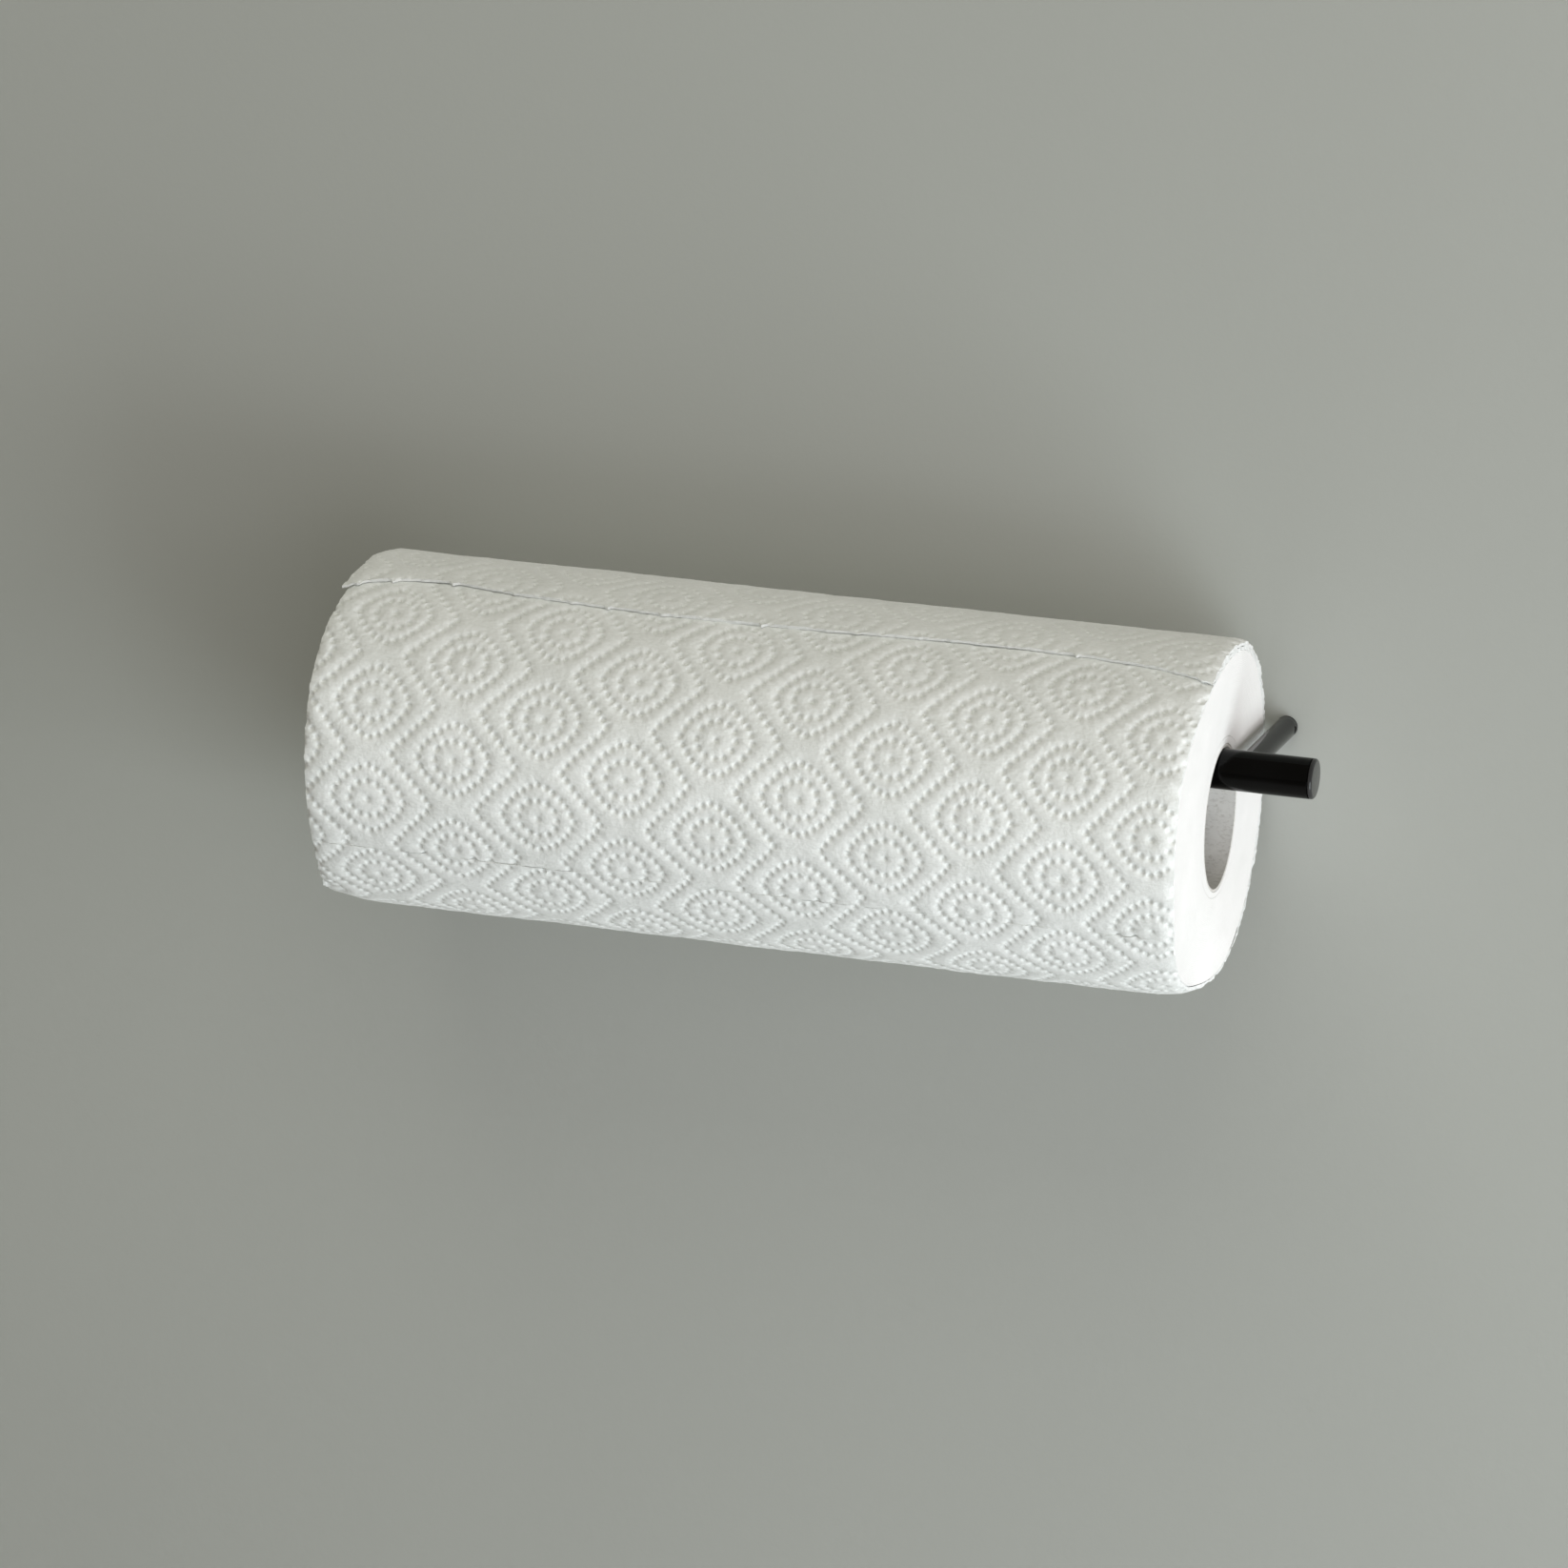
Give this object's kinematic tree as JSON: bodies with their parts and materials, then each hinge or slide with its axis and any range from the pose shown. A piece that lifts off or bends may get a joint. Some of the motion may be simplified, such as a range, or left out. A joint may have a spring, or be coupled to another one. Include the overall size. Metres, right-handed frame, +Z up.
{
  "type": "paper towel holder",
  "caption": "Wall-mounted holder: one slim arm carries a round rail with an open end, and a paper towel roll hangs and turns on it.",
  "frame": {"origin": "on the wall's surface, at the arm's axis, where the wall stud leaves the wall", "axes": "+X along the rail towards its short right end, +Y into the wall, +Z up; the roll is in front of the wall, at negative Y"},
  "size_m": [0.3163, 0.143, 0.1108],
  "materials": {
    "black_coat": "gloss",
    "zinc_steel": "satin",
    "dark_steel": "satin",
    "black_rubber": "matte",
    "nylon": "matte",
    "core_card": "matte",
    "wound_paper": "matte",
    "towel_paper": "matte"
  },
  "bodies": {
    "holder": {"rail_tube": "black_coat", "end_plug_right": "black_coat", "end_plug_left": "black_coat", "rail_insert": "zinc_steel", "joint_stud": "zinc_steel", "arm": "black_coat", "grub_screw": "dark_steel", "wall_washer": "black_rubber", "wall_stud": "zinc_steel", "wall_plug": "nylon"},
    "core": {"paper_core": "core_card"},
    "paper": {"paper_winding": "wound_paper", "next_sheet": "towel_paper", "last_sheet": "towel_paper"}
  },
  "joints": [
    {"name": "roll_slide", "type": "slide", "parent": "holder", "child": "core", "axis": [-1, 0, 0], "range_m": [-0.0021, 0.3]},
    {"name": "roll_spin", "type": "hinge", "parent": "core", "child": "paper", "pos_m": [-0.1455, -0.058, -0.01535], "axis": [1, 0, 0], "continuous": true}
  ]
}
